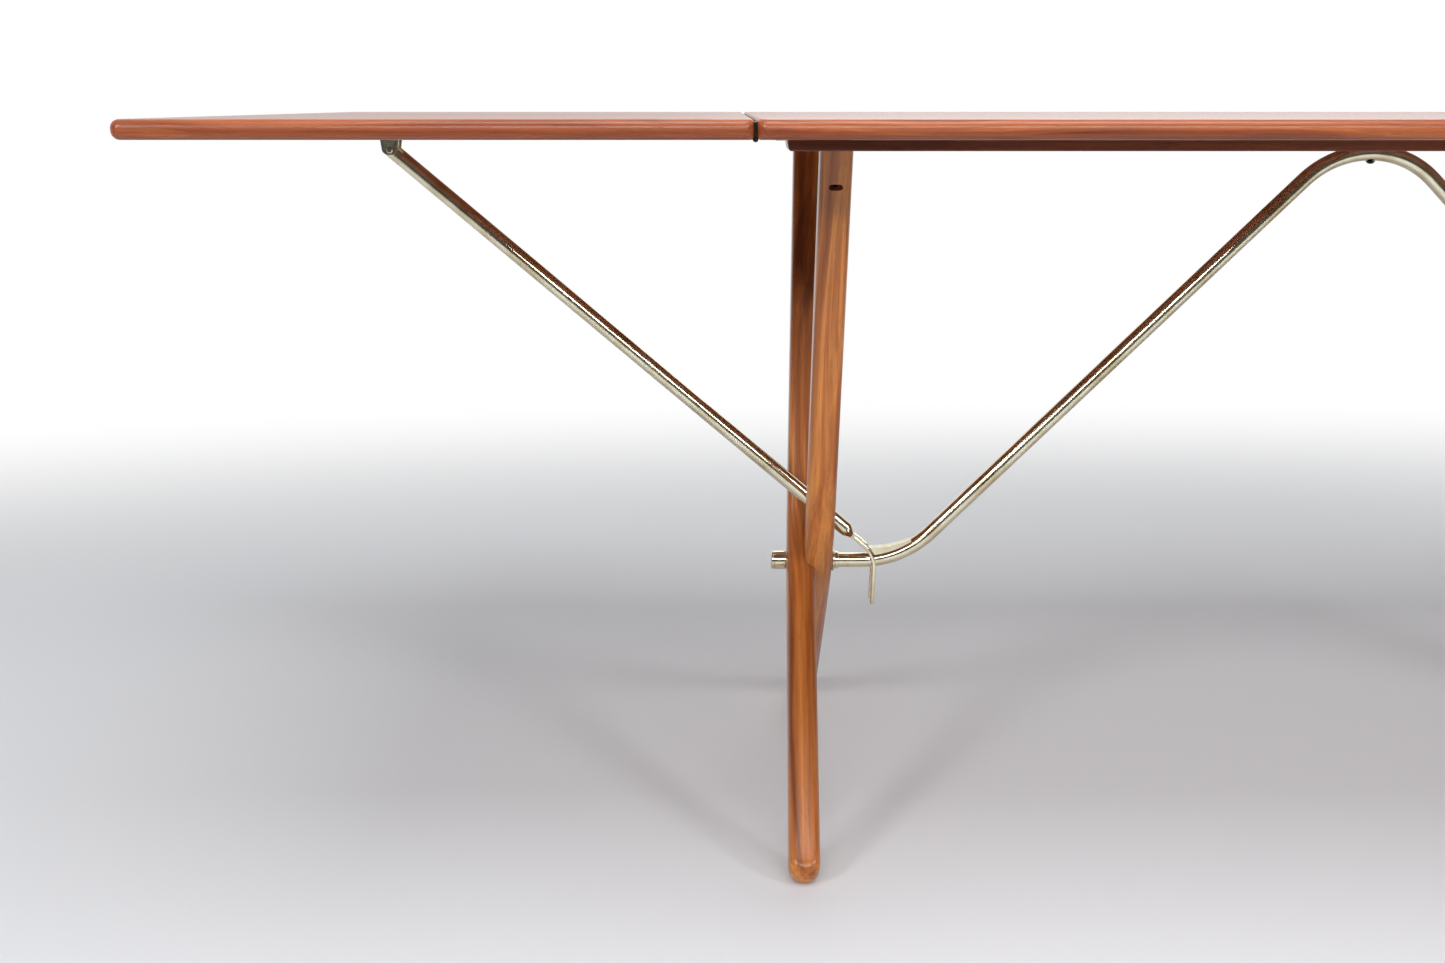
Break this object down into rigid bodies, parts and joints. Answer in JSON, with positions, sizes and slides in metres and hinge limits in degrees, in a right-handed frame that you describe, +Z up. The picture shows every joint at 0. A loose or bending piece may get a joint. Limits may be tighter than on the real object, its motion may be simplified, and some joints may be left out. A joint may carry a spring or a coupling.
{
  "type": "drop leaf table",
  "caption": "Long table with a drop leaf at each end, crossed sabre legs, a bent brass stretcher with an arch under the top, and fork-ended brass struts.",
  "frame": {"origin": "On the floor under the middle of the top with both leaves raised.", "axes": "+X along the table through both leaves, +Y across it to the rear, +Z up."},
  "size_m": [2.286, 0.86, 0.72],
  "materials": {
    "teak": "satin lacquered teak, straight grain, golden brown",
    "teak_shaded": "satin lacquered teak, darker underframe",
    "brass": "polished pale brass tube and fittings",
    "black_steel": "blackened steel screws and butt hinges"
  },
  "bodies": {
    "table": {"main_top": "teak", "rail_front": "teak_shaded", "rail_rear": "teak_shaded", "batten_left": "teak_shaded", "batten_right": "teak_shaded", "batten_center": "teak_shaded", "stretcher": "brass", "arch_screw": "black_steel", "leg_left_outer": "teak", "leg_left_inner": "teak", "leg_screw_left_outer": "black_steel", "leg_screw_left_inner": "black_steel", "cap_nut_left": "brass", "washer_left": "brass", "collar_left": "brass", "stop_ramp_left": "brass", "hinge_fixed_left_front": "black_steel", "hinge_pin_left_front": "black_steel", "hinge_fixed_left_middle": "black_steel", "hinge_pin_left_middle": "black_steel", "hinge_fixed_left_rear": "black_steel", "hinge_pin_left_rear": "black_steel", "leg_right_outer": "teak", "leg_right_inner": "teak", "leg_screw_right_outer": "black_steel", "leg_screw_right_inner": "black_steel", "cap_nut_right": "brass", "washer_right": "brass", "collar_right": "brass", "stop_ramp_right": "brass", "hinge_fixed_right_front": "black_steel", "hinge_pin_right_front": "black_steel", "hinge_fixed_right_middle": "black_steel", "hinge_pin_right_middle": "black_steel", "hinge_fixed_right_rear": "black_steel", "hinge_pin_right_rear": "black_steel"},
    "leaf_left": {"leaf_left": "teak", "clevis_left": "brass", "clevis_pin_left": "brass", "clevis_screw_left_outer": "brass", "clevis_screw_left_inner": "brass", "hinge_moving_left_front": "black_steel", "hinge_moving_left_middle": "black_steel", "hinge_moving_left_rear": "black_steel"},
    "strut_left": {"strut_tube_left": "brass", "strut_fork_left": "brass"},
    "leaf_right": {"leaf_right": "teak", "clevis_right": "brass", "clevis_pin_right": "brass", "clevis_screw_right_outer": "brass", "clevis_screw_right_inner": "brass", "hinge_moving_right_front": "black_steel", "hinge_moving_right_middle": "black_steel", "hinge_moving_right_rear": "black_steel"},
    "strut_right": {"strut_tube_right": "brass", "strut_fork_right": "brass"}
  },
  "joints": [
    {"name": "leaf_fold_left", "type": "hinge", "parent": "table", "child": "leaf_left", "pos_m": [-0.6415, 0, 0.7044], "axis": [0, -1, 0], "range_deg": [0, 65]},
    {"name": "strut_pivot_left", "type": "hinge", "parent": "leaf_left", "child": "strut_left", "pos_m": [-1.0076, 0, 0.6846], "axis": [0, -1, 0], "range_deg": [0, 5.53]},
    {"name": "leaf_fold_right", "type": "hinge", "parent": "table", "child": "leaf_right", "pos_m": [0.6415, 0, 0.7044], "axis": [0, 1, 0], "range_deg": [0, 65]},
    {"name": "strut_pivot_right", "type": "hinge", "parent": "leaf_right", "child": "strut_right", "pos_m": [1.0076, 0, 0.6846], "axis": [0, 1, 0], "range_deg": [0, 5.53]}
  ],
  "couplings": [
    {"joint": "strut_pivot_left", "follows": "leaf_fold_left", "ratio": 0.085},
    {"joint": "strut_pivot_right", "follows": "leaf_fold_right", "ratio": 0.085}
  ]
}
